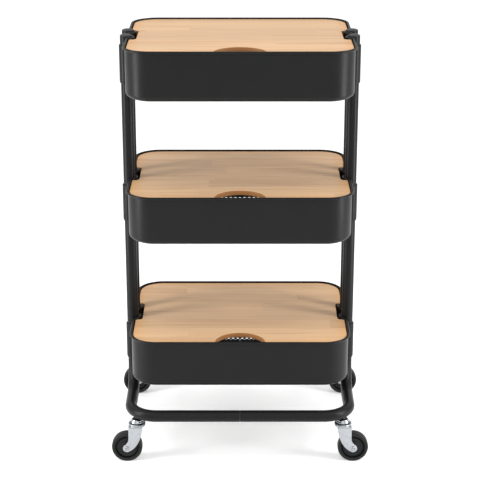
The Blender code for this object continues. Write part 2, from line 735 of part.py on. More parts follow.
def tyre_profile():
    """A tyre with rounded shoulders, seated round the wheel's rim."""
    half_width = TYRE_WIDTH / 2
    half = [
        (TYRE_SEAT_R + TYRE_FIT, half_width - RIM_INSET),
        (WHEEL_R - TYRE_SHOULDER, half_width),
        (WHEEL_R - TREAD_CROWN, half_width - TYRE_SHOULDER),
        (WHEEL_R, TREAD_WIDTH / 2),
    ]
    return half + [(r, -z) for r, z in reversed(half)]


def build_casters():
    fork_mesh = build_fork_mesh()
    for end_name, end in ENDS.items():
        for side_name, side in SIDES.items():
            build_caster(f"{end_name}_{side_name}", side, end, fork_mesh)


build_frame()
build_trays()
build_casters()
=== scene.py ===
"""The looks of the rolling tray cart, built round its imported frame. Metres, +Z up, the front faces -Y."""
from math import acos, cos, pi, radians, sin, sqrt

import bmesh
import bpy
from mathutils import Matrix, Vector


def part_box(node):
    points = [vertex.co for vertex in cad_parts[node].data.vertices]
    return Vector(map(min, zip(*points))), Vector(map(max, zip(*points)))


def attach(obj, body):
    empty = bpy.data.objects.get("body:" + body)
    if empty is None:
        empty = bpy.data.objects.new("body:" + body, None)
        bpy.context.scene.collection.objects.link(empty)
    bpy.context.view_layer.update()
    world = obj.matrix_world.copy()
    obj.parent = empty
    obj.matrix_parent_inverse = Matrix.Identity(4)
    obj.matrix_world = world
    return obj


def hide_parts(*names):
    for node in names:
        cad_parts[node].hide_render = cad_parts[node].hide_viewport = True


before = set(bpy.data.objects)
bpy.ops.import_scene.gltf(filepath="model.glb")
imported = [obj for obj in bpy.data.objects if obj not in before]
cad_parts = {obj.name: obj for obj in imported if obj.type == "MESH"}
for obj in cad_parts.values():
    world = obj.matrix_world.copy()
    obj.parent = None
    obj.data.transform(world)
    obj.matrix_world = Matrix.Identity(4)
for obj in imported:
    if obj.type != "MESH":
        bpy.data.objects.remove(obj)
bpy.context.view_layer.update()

# ---------------------------------------------------------------- sizes, as in the CAD model

SHEET = 0.0008
BEAD_PROUD = 0.0037
TRAY_HEIGHT = 0.0897
TRAY_CORNER_R = 0.046
FLUTE_EDGE_R = 0.003
BOTTOM_EDGE_RISE = 0.010
BOTTOM_EDGE_FRONT = 0.010
BOTTOM_EDGE_SIDE = 0.016
FLOOR_LIP = 0.012
TUBE_R = 0.0108
TUBE_WALL = 0.001
TUBE_FIT = 0.0006
INSIDE_TUBE_FIT = 0.0008
BEND_R = 0.050
CLAMP_THICKNESS = 0.0019
CLAMP_FLANGE = 0.010
CLAMP_BEND_R = 0.0012
SCREW_R = 0.0024
NUT_R = 0.0047
LID_BELOW_RIM = 0.0025
LID_THICKNESS = 0.009
LID_GAP = 0.002
LID_NOTCH_GAP = 0.003
LID_NOTCH_CORNER_R = 0.008
LID_MOUTH_CORNER_R = 0.003
FINGER_CUT_R = 0.046
REST_LENGTH = 0.022
REST_DEPTH = 0.009
REST_DROP = 0.012
REST_SHEET = 0.0012
REST_FROM_MIDDLE = 0.120
TOUCH = 0.0003

# Detail that the CAD model leaves plain
HOLE_PITCH = 0.009
HOLE_R = 0.0029
LID_EDGE_R = 0.0009
FLOOR_BORDER = 0.0104
FIELD_UNDER_BORDER = 0.0015
FIELD_SKIN = 0.00005
REST_END_SCALE = 0.9916
NUT_HEIGHT = 0.0036
NUT_BORE_R = 0.0026
NUT_CHAMFER = 0.0003
SHANK_END_R = 0.0020
SHANK_CHAMFER = 0.0004
CUT_EASE = 0.0022
CLAMP_LOWER_RISE = 0.0048
CLAMP_UPPER_FALL = 0.0012
TUBE_END_EASE = 0.00025

# ---------------------------------------------------------------- places, read from the frame

SIDES = {"left": -1, "right": 1}
ENDS = {"front": -1, "rear": 1}
LEVELS = ("upper", "middle", "lower")
CORNERS = [(f"{end}_{side}", ENDS[end], SIDES[side]) for end in ENDS for side in SIDES]


def centre_of(node):
    low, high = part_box(node)
    return (low + high) / 2


RIMS = {level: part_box(f"lid_{level}")[1].z + LID_BELOW_RIM for level in LEVELS}
SIDE_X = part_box("tray_upper")[1].x - BEAD_PROUD
FRONT_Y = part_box("tray_upper")[1].y - BEAD_PROUD
TUBE_X = centre_of("tube_cap_rear_right").x
TUBE_Y = centre_of("tube_cap_rear_right").y
TUBE_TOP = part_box("frame_tube_rear_right")[1].z
BAR_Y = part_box("frame_tube_rear_right")[1].y - TUBE_R
BAR_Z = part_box("frame_tube_rear_right")[0].z + TUBE_R
FLUTE_R = TUBE_R + TUBE_FIT + BEAD_PROUD
FLUTE_TURN = acos((TUBE_X - SIDE_X + FLUTE_EDGE_R) / (FLUTE_R + FLUTE_EDGE_R))
FLUTE_REACH = (FLUTE_R + FLUTE_EDGE_R) * sin(FLUTE_TURN)

# ---------------------------------------------------------------- material nodes


class Nodes:
    """A material's node tree, with short calls to add and link nodes."""

    def __init__(self, name):
        self.material = bpy.data.materials.new(name)
        self.material.use_nodes = True
        self.tree = self.material.node_tree
        self.shader = self.tree.nodes["Principled BSDF"]

    def add(self, kind, inputs=None, **settings):
        node = self.tree.nodes.new(kind)
        for name, value in settings.items():
            setattr(node, name, value)
        for name, value in (inputs or {}).items():
            self.put(value, node.inputs[name])
        return node

    def put(self, value, socket):
        if isinstance(value, bpy.types.NodeSocket):
            self.tree.links.new(value, socket)
        else:
            socket.default_value = value

    def math(self, operation, first, second=0.0):
        return self.add("ShaderNodeMath", {0: first, 1: second}, operation=operation).outputs[0]

    def noise(self, vector, scale, detail=3.0, roughness=0.5, distortion=0.0):
        settings = {"Vector": vector, "Scale": scale, "Detail": detail, "Roughness": roughness,
                    "Distortion": distortion}
        return self.add("ShaderNodeTexNoise", settings).outputs["Fac"]

    def remap(self, value, low, high, new_low, new_high):
        settings = {"Value": value, "From Min": low, "From Max": high, "To Min": new_low, "To Max": new_high}
        return self.add("ShaderNodeMapRange", settings).outputs["Result"]

    def mix(self, share, first, second, blend="MIX"):
        node = self.add("ShaderNodeMix", data_type="RGBA", blend_type=blend)
        self.put(share, node.inputs["Factor"])
        self.put(first, node.inputs["A"])
        self.put(second, node.inputs["B"])
        return node.outputs["Result"]

    def place(self, scale=(1, 1, 1)):
        coordinates = self.add("ShaderNodeTexCoord").outputs["Object"]
        return self.add("ShaderNodeMapping", {"Vector": coordinates, "Scale": scale}).outputs["Vector"]

    def bump(self, height, distance, strength=1.0, normal=None):
        settings = {"Height": height, "Distance": distance, "Strength": strength}
        node = self.add("ShaderNodeBump", settings)
        if normal is not None:
            self.put(normal, node.inputs["Normal"])
        return node.outputs["Normal"]

    def finish(self, colour=None, roughness=None, metallic=None, normal=None, specular=None):
        named = {"Base Color": colour, "Roughness": roughness, "Metallic": metallic, "Normal": normal,
                 "Specular IOR Level": specular}
        for name, value in named.items():
            if value is not None:
                self.put(value, self.shader.inputs[name])
        return self.material


def rgba(red, green, blue):
    return (red, green, blue, 1.0)


def powder_coat(name, colour, roughness, grain=1500.0):
    """Baked powder paint: a fine orange-peel surface with slightly uneven gloss and tone."""
    nodes = Nodes(name)
    where = nodes.place()
    peel = nodes.noise(where, grain, 2.0)
    fleck = nodes.noise(where, grain * 3, 1.0)
    broad = nodes.noise(where, 22.0, 3.0)
    tone = nodes.remap(broad, 0.3, 0.7, 0.94, 1.06)
    shade = nodes.add("ShaderNodeVectorMath", {0: colour[:3], "Scale": tone}, operation="SCALE").outputs[0]
    speck = nodes.remap(fleck, 0.62, 0.80, 0.0, 0.10)
    lighter = rgba(*[c * 1.9 + 0.01 for c in colour[:3]])
    shade = nodes.mix(speck, shade, lighter)
    gloss = nodes.remap(broad, 0.25, 0.75, roughness - 0.03, roughness + 0.04)
    return nodes.finish(shade, gloss, 0.0, nodes.bump(peel, 0.00006, 0.5), specular=0.15)


def edge_shade_share(nodes, distance, half):
    """How near a place is to the board's edge, from 0 inside to 1 at the edge, on one axis: the mask of the
    painted shade along the edges.
    """
    reach = nodes.math("ABSOLUTE", distance)
    return nodes.remap(reach, half - EDGE_SHADE_WIDTH, half, 0.0, 1.0)


def lid_wood(name):
    """Boards glued up from narrow staves: tone by stave, long streaks of grain, painted shade near the
    board's edges, and browner cut edges, partly laser-cut toast and partly painted shade on the upright
    faces.
    """
    nodes = Nodes(name)
    where = nodes.place()
    parts = nodes.add("ShaderNodeSeparateXYZ", {0: where}).outputs
    along, across, up = parts[0], parts[1], parts[2]
    level = nodes.math("FLOOR", nodes.math("MULTIPLY", up, 4.0))
    strip_count = nodes.math("DIVIDE", nodes.math("ADD", across, STAVE_SHIFT), STAVE_WIDTH)
    strip = nodes.math("FLOOR", strip_count)
    strip_key = nodes.add("ShaderNodeCombineXYZ", {0: strip, 1: level}).outputs[0]
    strip_luck = nodes.add("ShaderNodeTexWhiteNoise", {"Vector": strip_key}, noise_dimensions="2D").outputs
    shifted = nodes.math("ADD", along, nodes.math("MULTIPLY", strip_luck["Value"], 3.0))
    stave_count = nodes.math("DIVIDE", shifted, STAVE_LENGTH)
    stave = nodes.math("FLOOR", stave_count)
    stave_key = nodes.add("ShaderNodeCombineXYZ", {0: stave, 1: strip, 2: level}).outputs[0]
    luck = nodes.add("ShaderNodeTexWhiteNoise", {"Vector": stave_key}, noise_dimensions="3D").outputs
    drift = nodes.math("MULTIPLY", luck["Value"], 7.0)
    grain_at = nodes.add("ShaderNodeCombineXYZ", {0: nodes.math("ADD", along, drift), 1: across, 2: drift})
    grain_at = grain_at.outputs[0]

    def stretched(x, y, z):
        return nodes.add("ShaderNodeMapping", {"Vector": grain_at, "Scale": (x, y, z)}).outputs["Vector"]

    bend = nodes.noise(stretched(2.2, 11.0, 1.0), 1.0, 2.0)
    bent = nodes.add("ShaderNodeVectorMath", {0: stretched(2.0, 78.0, 1.0)}, operation="ADD")
    push = nodes.add("ShaderNodeCombineXYZ", {1: nodes.math("MULTIPLY", bend, 6.0)}).outputs[0]
    nodes.put(push, bent.inputs[1])
    rings = nodes.noise(bent.outputs[0], 1.0, 4.0, 0.6)
    broad = nodes.noise(stretched(2.0, 26.0, 1.0), 1.0, 2.0)
    fibre = nodes.noise(stretched(9.0, 620.0, 1.0), 1.0, 3.0, 0.6)
    pores = nodes.noise(stretched(34.0, 1300.0, 1.0), 1.0, 2.0, 0.5)
    light = rgba(0.605, 0.392, 0.220)
    deep = rgba(0.420, 0.240, 0.118)
    grey = rgba(0.470, 0.305, 0.190)
    colour = nodes.mix(nodes.remap(broad, 0.35, 0.70, 0.0, 0.34), light, deep)
    colour = nodes.mix(nodes.remap(rings, 0.50, 0.70, 0.0, 0.66), colour, deep)
    colour = nodes.mix(nodes.remap(luck["Value"], 0.30, 1.0, 0.0, 0.30), colour, grey)
    # Painted shade: the board is tinted warmer and darker near its edges, in place of the bounce light and
    # shade that fall there
    edge_shade_mask = nodes.math("MAXIMUM", edge_shade_share(nodes, along, BOARD_HALF_X),
                        edge_shade_share(nodes, across, BOARD_HALF_Y))
    edge_shaded_colour = nodes.mix(1.0, colour, rgba(1.06, 0.90, 0.66), "MULTIPLY")
    colour = nodes.mix(nodes.math("MULTIPLY", edge_shade_mask, 0.75), colour, edge_shaded_colour)
    tone = nodes.remap(luck["Value"], 0.0, 1.0, 1.025, 0.965)
    tone = nodes.math("MULTIPLY", tone, nodes.remap(fibre, 0.3, 0.7, 1.04, 0.95))
    tone = nodes.math("MULTIPLY", tone, nodes.remap(pores, 0.64, 0.78, 1.0, 0.84))
    colour = nodes.add("ShaderNodeVectorMath", {0: colour, "Scale": tone}, operation="SCALE").outputs[0]
    seam = nodes.math("LESS_THAN", nodes.math("FRACT", strip_count), 0.010)
    butt = nodes.math("LESS_THAN", nodes.math("FRACT", stave_count), 0.0015)
    joint = nodes.math("MAXIMUM", seam, butt)
    colour = nodes.mix(nodes.math("MULTIPLY", joint, 0.26), colour, rgba(0.30, 0.17, 0.085))
    # Upright cut faces made browner: partly the toast of the laser cut, partly painted shade for faces that
    # the overhead light reaches less
    facing = nodes.add("ShaderNodeSeparateXYZ", {0: nodes.add("ShaderNodeNewGeometry").outputs["Normal"]})
    flat = nodes.math("ABSOLUTE", facing.outputs[2])
    edge = nodes.remap(flat, 0.35, 0.80, 0.96, 0.0)
    colour = nodes.mix(edge, colour, rgba(0.330, 0.140, 0.042))
    relief = nodes.math("ADD", nodes.math("MULTIPLY", rings, 0.6), nodes.math("MULTIPLY", fibre, 0.4))
    relief = nodes.math("SUBTRACT", relief, nodes.math("MULTIPLY", joint, 0.8))
    gloss = nodes.remap(fibre, 0.3, 0.7, 0.46, 0.56)
    return nodes.finish(colour, gloss, 0.0, nodes.bump(relief, 0.00008, 0.55), specular=0.38)


def plated_steel(name, colour, roughness, streak=(60.0, 60.0, 500.0)):
    """Zinc plate: bright metal with faint drawn streaks and cloudy passivation."""
    nodes = Nodes(name)
    streaks = nodes.noise(nodes.place(streak), 1.0, 3.0)
    cloud = nodes.noise(nodes.place(), 140.0, 4.0, 0.6)
    fine = nodes.noise(nodes.place(), 2600.0, 2.0)
    tone = nodes.remap(cloud, 0.3, 0.7, 0.90, 1.05)
    shade = nodes.add("ShaderNodeVectorMath", {0: colour[:3], "Scale": tone}, operation="SCALE").outputs[0]
    gloss = nodes.remap(nodes.math("ADD", streaks, cloud), 0.7, 1.3, roughness - 0.06, roughness + 0.08)
    return nodes.finish(shade, gloss, 1.0, nodes.bump(fine, 0.00002, 0.4))


def moulded(name, colour, roughness, grain, depth):
    """Moulded plastic or rubber with a fine matt grain and faint flow marks."""
    nodes = Nodes(name)
    where = nodes.place()
    skin = nodes.noise(where, grain, 3.0, 0.6)
    flow = nodes.noise(where, 90.0, 3.0)
    tone = nodes.remap(flow, 0.3, 0.7, 0.88, 1.14)
    shade = nodes.add("ShaderNodeVectorMath", {0: colour[:3], "Scale": tone}, operation="SCALE").outputs[0]
    gloss = nodes.remap(flow, 0.3, 0.7, roughness - 0.05, roughness + 0.06)
    return nodes.finish(shade, gloss, 0.0, nodes.bump(skin, depth, 0.6), specular=0.17)


STAVE_WIDTH = 0.043
STAVE_SHIFT = 0.5137
STAVE_LENGTH = 0.310
# How far in from the board's edges the painted shade reaches
EDGE_SHADE_WIDTH = 0.022
BOARD_HALF_X = 0.1972
BOARD_HALF_Y = 0.1522
COATED = powder_coat("powder_coat", rgba(0.0056, 0.0057, 0.0059), 0.35)
COATED_FLOOR = powder_coat("powder_coat_floor", rgba(0.010, 0.0101, 0.0104), 0.40, 1900.0)
WOOD = lid_wood("lid_wood")
ZINC = plated_steel("zinc_plate", rgba(0.375, 0.392, 0.412), 0.25)
RING_STEEL = plated_steel("ring_steel", rgba(0.40, 0.415, 0.435), 0.14)
AXLE_STEEL = plated_steel("axle_steel", rgba(0.30, 0.31, 0.325), 0.28)
CAP_PLASTIC = moulded("cap_plastic", rgba(0.030, 0.031, 0.033), 0.42, 1700.0, 0.00004)
WHEEL_PLASTIC = moulded("wheel_plastic", rgba(0.0075, 0.0075, 0.0079), 0.38, 1400.0, 0.00005)
TREAD_RUBBER = moulded("tread_rubber", rgba(0.0105, 0.0105, 0.0110), 0.46, 1100.0, 0.00007)

# ---------------------------------------------------------------- mesh tools


def add_piece(name, mesh, surface, body, slot, *nodes):
    """An object of the cart: its material, the body it rides on and what it replaces. The slot argument is
    not used.
    """
    mesh.materials.clear()
    mesh.materials.append(surface)
    made = bpy.data.objects.new(name, mesh)
    bpy.context.scene.collection.objects.link(made)
    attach(made, body)
    if nodes:
        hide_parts(*nodes)
    return made


def mesh_of(name, points, faces, sharpest=radians(34)):
    """A smooth-shaded mesh with its normals facing out."""
    work = bmesh.new()
    made = [work.verts.new(point) for point in points]
    for face in faces:
        if len(set(face)) > 2:
            work.faces.new([made[i] for i in face])
    bmesh.ops.remove_doubles(work, verts=work.verts, dist=1e-6)
    bmesh.ops.recalc_face_normals(work, faces=work.faces)
    mesh = bpy.data.meshes.new(name)
    work.to_mesh(mesh)
    work.free()
    mesh.shade_smooth()
    mesh.set_sharp_from_angle(angle=sharpest)
    return mesh


def baked(source, matrix=None, sharpest=radians(34)):
    """The evaluated mesh of a working object, which is then removed."""
    bpy.context.view_layer.update()
    depsgraph = bpy.context.evaluated_depsgraph_get()
    mesh = bpy.data.meshes.new_from_object(source.evaluated_get(depsgraph))
    mesh.transform(matrix or source.matrix_world)
    work = bmesh.new()
    work.from_mesh(mesh)
    bmesh.ops.remove_doubles(work, verts=work.verts, dist=1e-6)
    work.to_mesh(mesh)
    work.free()
    mesh.shade_smooth()
    mesh.set_sharp_from_angle(angle=sharpest)
    data = source.data
    bpy.data.objects.remove(source, do_unlink=True)
    if data.users == 0 and isinstance(data, bpy.types.Curve):
        bpy.data.curves.remove(data)
    return mesh


def working(name, data):
    made = bpy.data.objects.new(name, data)
    bpy.context.scene.collection.objects.link(made)
    return made


def arc(centre, radius, start, end, steps):
    """Points along an arc in the plane, both ends included."""
    angles = [start + (end - start) * i / steps for i in range(steps + 1)]
    return [Vector((centre[0] + radius * cos(a), centre[1] + radius * sin(a))) for a in angles]


def bow(start, pull, end, steps):
    """Points along a quadratic curve from start to end, pulled towards a third point; both ends included."""
    shares = [i / steps for i in range(steps + 1)]
    return [start * (1 - t) ** 2 + pull * 2 * t * (1 - t) + end * t ** 2 for t in shares]


def rounded(points, radius, closed=False, steps=4):
    """A line through the points with each corner rounded, as far as its two sides allow."""
    points = [Vector(point) for point in points]
    line = []
    for i, corner in enumerate(points):
        if not closed and i in (0, len(points) - 1):
            line.append(corner)
            continue
        back = points[i - 1] - corner
        on = points[(i + 1) % len(points)] - corner
        reach = min(radius, back.length * 0.45, on.length * 0.45)
        line += bow(corner + back.normalized() * reach, corner, corner + on.normalized() * reach, steps)
    return line


def around(quarter):
    """A loop of plane points round all four quarters, from one quarter that starts on +X and ends on +Y."""
    loop = list(quarter)
    loop += [Vector((-p.x, p.y)) for p in reversed(quarter[:-1])]
    loop += [Vector((-p.x, -p.y)) for p in quarter[1:]]
    loop += [Vector((p.x, -p.y)) for p in reversed(quarter[1:-1])]
    return loop


def loft(rings, closed_section=False):
    """Points and faces between rings of equal length; an open section is left open at its ends."""
    count = len(rings[0])
    points = [point for ring in rings for point in ring]
    faces = []
    for i in range(len(rings) if closed_section else len(rings) - 1):
        j = (i + 1) % len(rings)
        for k in range(count):
            m = (k + 1) % count
            faces.append((i * count + k, i * count + m, j * count + m, j * count + k))
    return points, faces


def turned(name, profile, steps=48, closed=False, corner_r=0.0004, matrix=None, sharpest=radians(40)):
    """A turned mesh about Z: (radius, height) points, from axis to axis or closed for a ring."""
    line = rounded(profile, corner_r, closed)
    angles = [2 * pi * k / steps for k in range(steps)]
    rings = [[(p[0] * cos(a), p[0] * sin(a), p[1]) for a in angles] for p in line]
    mesh = mesh_of(name, *loft(rings, closed), sharpest)
    if matrix is not None:
        mesh.transform(matrix)
    return mesh


def flat_piece(name, outline, thickness, edge_r, matrix=None):
    """A flat outline in XY with a thickness about its own plane and rounded edges."""
    curve = bpy.data.curves.new(name, "CURVE")
    curve.dimensions = "2D"
    curve.fill_mode = "BOTH"
    curve.extrude = thickness / 2 - edge_r
    curve.bevel_depth = edge_r
    curve.bevel_resolution = 3
    curve.offset = -edge_r
    spline = curve.splines.new("POLY")
    spline.points.add(len(outline) - 1)
    for place, point in zip(spline.points, outline):
        place.co = (point[0], point[1], 0.0, 1.0)
    spline.use_cyclic_u = True
    return baked(working(name, curve), matrix)


def joined(name, meshes):
    work = bmesh.new()
    for mesh in meshes:
        work.from_mesh(mesh)
        bpy.data.meshes.remove(mesh)
    mesh = bpy.data.meshes.new(name)
    work.to_mesh(mesh)
    work.free()
    return mesh


# ---------------------------------------------------------------- frame tubes and caps

BEND_STEPS = 18


def frame_path(side, end):
    """Half a base bar, its plan corner, a short side run, the bend up and the upright."""
    path = [Vector((side * TOUCH / 2, end * BAR_Y, BAR_Z))]
    for p in arc((TUBE_X - BEND_R, BAR_Y - BEND_R), BEND_R, pi / 2, 0, BEND_STEPS):
        path.append(Vector((side * p.x, end * p.y, BAR_Z)))
    for p in arc((TUBE_Y + BEND_R, BAR_Z + BEND_R), BEND_R, -pi / 2, -pi, BEND_STEPS):
        path.append(Vector((side * TUBE_X, end * p.x, p.y)))
    path.append(Vector((side * TUBE_X, end * TUBE_Y, TUBE_TOP)))
    return path


def tube_mesh(name, path):
    """A bent hollow tube with slightly eased ends."""
    curve = bpy.data.curves.new(name, "CURVE")
    curve.dimensions = "3D"
    curve.bevel_depth = TUBE_R
    curve.bevel_resolution = 16
    spline = curve.splines.new("POLY")
    spline.points.add(len(path) - 1)
    for place, point in zip(spline.points, path):
        place.co = (*point, 1.0)
    source = working(name, baked(working(name + "_path", curve)))
    solidify = source.modifiers.new("wall", "SOLIDIFY")
    solidify.thickness = TUBE_WALL
    solidify.offset = -1
    ease = source.modifiers.new("eased_ends", "BEVEL")
    ease.width = TUBE_END_EASE
    ease.segments = 2
    ease.limit_method = "ANGLE"
    ease.angle_limit = radians(60)
    return baked(source)


def build_frame():
    for name, end, side in CORNERS:
        node = f"frame_tube_{name}"
        add_piece(f"bent_tube_{name}", tube_mesh(node + "_fine", frame_path(side, end)), COATED, "frame",
                  "frame_tube", node)
        build_cap(name, side, end)
    for end in ENDS:
        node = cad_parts[f"base_joiner_{end}"]
        node.data.materials.clear()
        node.data.materials.append(AXLE_STEEL)


def build_cap(name, side, end):
    """A domed plug with a thin rim that stands on the tube's end."""
    low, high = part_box(f"tube_cap_{name}")
    plug_r = TUBE_R - TUBE_WALL - INSIDE_TUBE_FIT
    seat = TUBE_TOP + TOUCH
    dome = high.z - seat
    profile = [
        (0.0, high.z), (TUBE_R * 0.32, high.z - dome * 0.05), (TUBE_R * 0.62, high.z - dome * 0.20),
        (TUBE_R * 0.85, high.z - dome * 0.45), (TUBE_R * 0.97, seat + dome * 0.27),
        (TUBE_R, seat + dome * 0.12), (TUBE_R, seat), (plug_r, seat), (plug_r, low.z), (0.0, low.z),
    ]
    mesh = turned(f"domed_cap_{name}", profile, corner_r=0.0005,
                  matrix=Matrix.Translation((side * TUBE_X, end * TUBE_Y, 0.0)))
    add_piece(f"domed_cap_{name}", mesh, CAP_PLASTIC, "frame", "tube_cap", f"tube_cap_{name}")


# ---------------------------------------------------------------- trays

CORNER_STEPS = 18
FLUTE_STEPS = 16
EDGE_STEPS = 6


def wall_quarter():
    """One quarter of the tray wall's outer line, as (point, outward normal, foot of the bottom edge)."""
    quarter = []

    def add(point, normal, foot):
        quarter.append((point, normal, foot))

    def side_foot(point):
        return Vector((SIDE_X - BOTTOM_EDGE_SIDE, point.y))

    add(Vector((SIDE_X, 0.0)), Vector((1.0, 0.0)), Vector((SIDE_X - BOTTOM_EDGE_SIDE, 0.0)))
    inner_edge = Vector((SIDE_X - FLUTE_EDGE_R, TUBE_Y - FLUTE_REACH))
    outer_edge = Vector((SIDE_X - FLUTE_EDGE_R, TUBE_Y + FLUTE_REACH))
    tube = Vector((TUBE_X, TUBE_Y))
    for point in arc(inner_edge, FLUTE_EDGE_R, 0, FLUTE_TURN, EDGE_STEPS):
        add(point, (point - inner_edge).normalized(), side_foot(point))
    for point in arc(tube, FLUTE_R, pi + FLUTE_TURN, pi - FLUTE_TURN, FLUTE_STEPS)[1:]:
        add(point, (tube - point).normalized(), side_foot(point))
    for point in arc(outer_edge, FLUTE_EDGE_R, -FLUTE_TURN, 0, EDGE_STEPS)[1:]:
        add(point, (point - outer_edge).normalized(), side_foot(point))
    corner = Vector((SIDE_X - TRAY_CORNER_R, FRONT_Y - TRAY_CORNER_R))
    for point in arc(corner, TRAY_CORNER_R, 0, pi / 2, CORNER_STEPS):
        normal = (point - corner).normalized()
        foot = corner + Vector((
            (TRAY_CORNER_R - BOTTOM_EDGE_SIDE) * normal.x,
            (TRAY_CORNER_R - BOTTOM_EDGE_FRONT) * normal.y,
        ))
        add(point, normal, foot)
    add(Vector((0.0, FRONT_Y)), Vector((0.0, 1.0)), Vector((0.0, FRONT_Y - BOTTOM_EDGE_FRONT)))
    return quarter


def lip_of(foot):
    """The inner edge of the floor lip, level with a foot of the bottom edge."""
    corner = Vector((SIDE_X - TRAY_CORNER_R, FRONT_Y - TRAY_CORNER_R))
    if foot.y < corner.y:
        return Vector((foot.x - FLOOR_LIP, foot.y))
    if foot.x < corner.x:
        return Vector((foot.x, foot.y - FLOOR_LIP))
    return foot - (foot - corner).normalized() * FLOOR_LIP


def tray_shell(name, rim):
    """Rolled bead, fluted wall, rounded bottom edge and floor lip, as one sheet carried round the wall."""
    quarter = wall_quarter()
    wall = around([row[0] for row in quarter])
    normals = around([row[1] for row in quarter])
    feet = around([row[2] for row in quarter])
    lips = around([lip_of(row[2]) for row in quarter])
    inside = [p - n * SHEET for p, n in zip(wall, normals)]
    bead_r = (BEAD_PROUD + SHEET) / 2
    bead_out = BEAD_PROUD - bead_r
    under = -acos(-bead_out / bead_r)
    bottom = rim - TRAY_HEIGHT
    rings = []

    def ring(points, z):
        rings.append([(p.x, p.y, z) for p in points])

    bead_steps = 16
    for i in range(bead_steps + 1):
        angle = pi + (under - pi) * i / bead_steps
        offset = bead_out + bead_r * cos(angle)
        ring([p + n * offset for p, n in zip(wall, normals)], rim - bead_r + bead_r * sin(angle))
    edge_steps = 8
    for i in range(edge_steps + 1):
        angle = radians(90) * i / edge_steps
        draw = 1 - cos(angle)
        ring([p + (f - p) * draw for p, f in zip(wall, feet)], bottom + BOTTOM_EDGE_RISE * (1 - sin(angle)))
    ring(lips, bottom)
    ring(lips, bottom + SHEET)
    for i in range(edge_steps + 1):
        angle = radians(90) * (1 - i / edge_steps)
        draw = 1 - cos(angle)
        rise = SHEET + (BOTTOM_EDGE_RISE - SHEET) * (1 - sin(angle))
        ring([p + (f - p) * draw for p, f in zip(inside, feet)], bottom + rise)
    return mesh_of(name, *loft(rings, closed_section=True))


def tray_fittings(name, level, rim):
    """Four bent lid rests and the two weld nuts inside the tray."""
    top = rim - (LID_BELOW_RIM + LID_THICKNESS + TOUCH)
    wall_y = FRONT_Y - SHEET
    section = rounded([
        (wall_y - REST_DEPTH, top), (wall_y, top), (wall_y, top - REST_DROP),
        (wall_y - REST_SHEET, top - REST_DROP), (wall_y - REST_SHEET, top - REST_SHEET),
        (wall_y - REST_DEPTH, top - REST_SHEET),
    ], REST_SHEET * 0.4, closed=True, steps=3)
    middle = Vector((wall_y - REST_SHEET / 2, top - REST_SHEET / 2))
    meshes = []
    for end in ENDS.values():
        for side in SIDES.values():
            rings = []
            for share, scale in ((-0.5, REST_END_SCALE), (-0.49, 1.0), (0.49, 1.0), (0.5, REST_END_SCALE)):
                x = side * REST_FROM_MIDDLE + share * REST_LENGTH
                rings.append([(x, end * (middle.x + (p.x - middle.x) * scale),
                               middle.y + (p.y - middle.y) * scale) for p in section])
            points, faces = loft(rings)
            count = len(section)
            faces.append(tuple(range(count)))
            faces.append(tuple((len(rings) - 1) * count + k for k in range(count)))
            meshes.append(mesh_of("lid_rest", points, faces))
    for side_name, side in SIDES.items():
        screw = centre_of(f"clamp_screw_{level}_{side_name}")
        inside = Matrix.Translation((side * (SIDE_X - SHEET), 0.0, screw.z))
        turn = inside @ Matrix.Rotation(-side * pi / 2, 4, "Y")
        meshes.append(hex_nut(NUT_R, NUT_HEIGHT, NUT_BORE_R, turn))
    return joined(name, meshes)


def hexagon_reach(corner_r, angle):
    """How far a hexagon reaches from its middle, at an angle from the middle of a flat."""
    return corner_r * cos(pi / 6) / cos((angle + pi / 6) % (pi / 3) - pi / 6)


def hex_nut(corner_r, height, bore, matrix):
    """A hexagon nut on z = 0, its top corners chamfered."""
    steps = 36
    rings = []
    for z, limit in ((0.0, corner_r), (height * 0.82, corner_r), (height, corner_r * 0.90)):
        ring = []
        for k in range(steps):
            angle = 2 * pi * k / steps
            radius = min(hexagon_reach(corner_r, angle), limit)
            ring.append((radius * cos(angle), radius * sin(angle), z))
        rings.append(ring)
    for z, radius in ((height, bore * 1.12), (height - NUT_CHAMFER, bore), (0.0, bore)):
        rings.append([(radius * cos(2 * pi * k / steps), radius * sin(2 * pi * k / steps), z)
                      for k in range(steps)])
    mesh = mesh_of("weld_nut", *loft(rings, closed_section=True), radians(25))
    mesh.transform(matrix)
    return mesh


def rounded_box_quarter(half_x, half_y, corner_x, corner_y, steps=12):
    quarter = [Vector((half_x, 0.0))]
    for i in range(steps + 1):
        a = pi / 2 * i / steps
        quarter.append(Vector((half_x - corner_x + corner_x * cos(a), half_y - corner_y + corner_y * sin(a))))
    quarter.append(Vector((0.0, half_y)))
    return quarter


def perforated_floor(name, low, high):
    """Round holes in staggered rows inside a plain border."""
    corner_x = TRAY_CORNER_R - BOTTOM_EDGE_SIDE
    corner_y = TRAY_CORNER_R - BOTTOM_EDGE_FRONT
    inset = high.x - (SIDE_X - BOTTOM_EDGE_SIDE)
    outer = around(rounded_box_quarter(high.x, high.y, corner_x + inset, corner_y + inset))
    inner_x, inner_y = high.x - FLOOR_BORDER, high.y - FLOOR_BORDER
    inner = around(rounded_box_quarter(inner_x, inner_y, corner_x + inset - FLOOR_BORDER,
                                       corner_y + inset - FLOOR_BORDER))
    rings = [[(p.x, p.y, z) for p in line] for line, z in
             ((outer, low.z), (outer, high.z), (inner, high.z), (inner, low.z))]
    border_mesh = mesh_of("border", *loft(rings, closed_section=True))
    field = perforation("field", inner_x + FIELD_UNDER_BORDER, inner_y + FIELD_UNDER_BORDER,
                        corner_x - FLOOR_BORDER, low.z + FIELD_SKIN, high.z - FIELD_SKIN)
    return joined(name, [border_mesh, field])


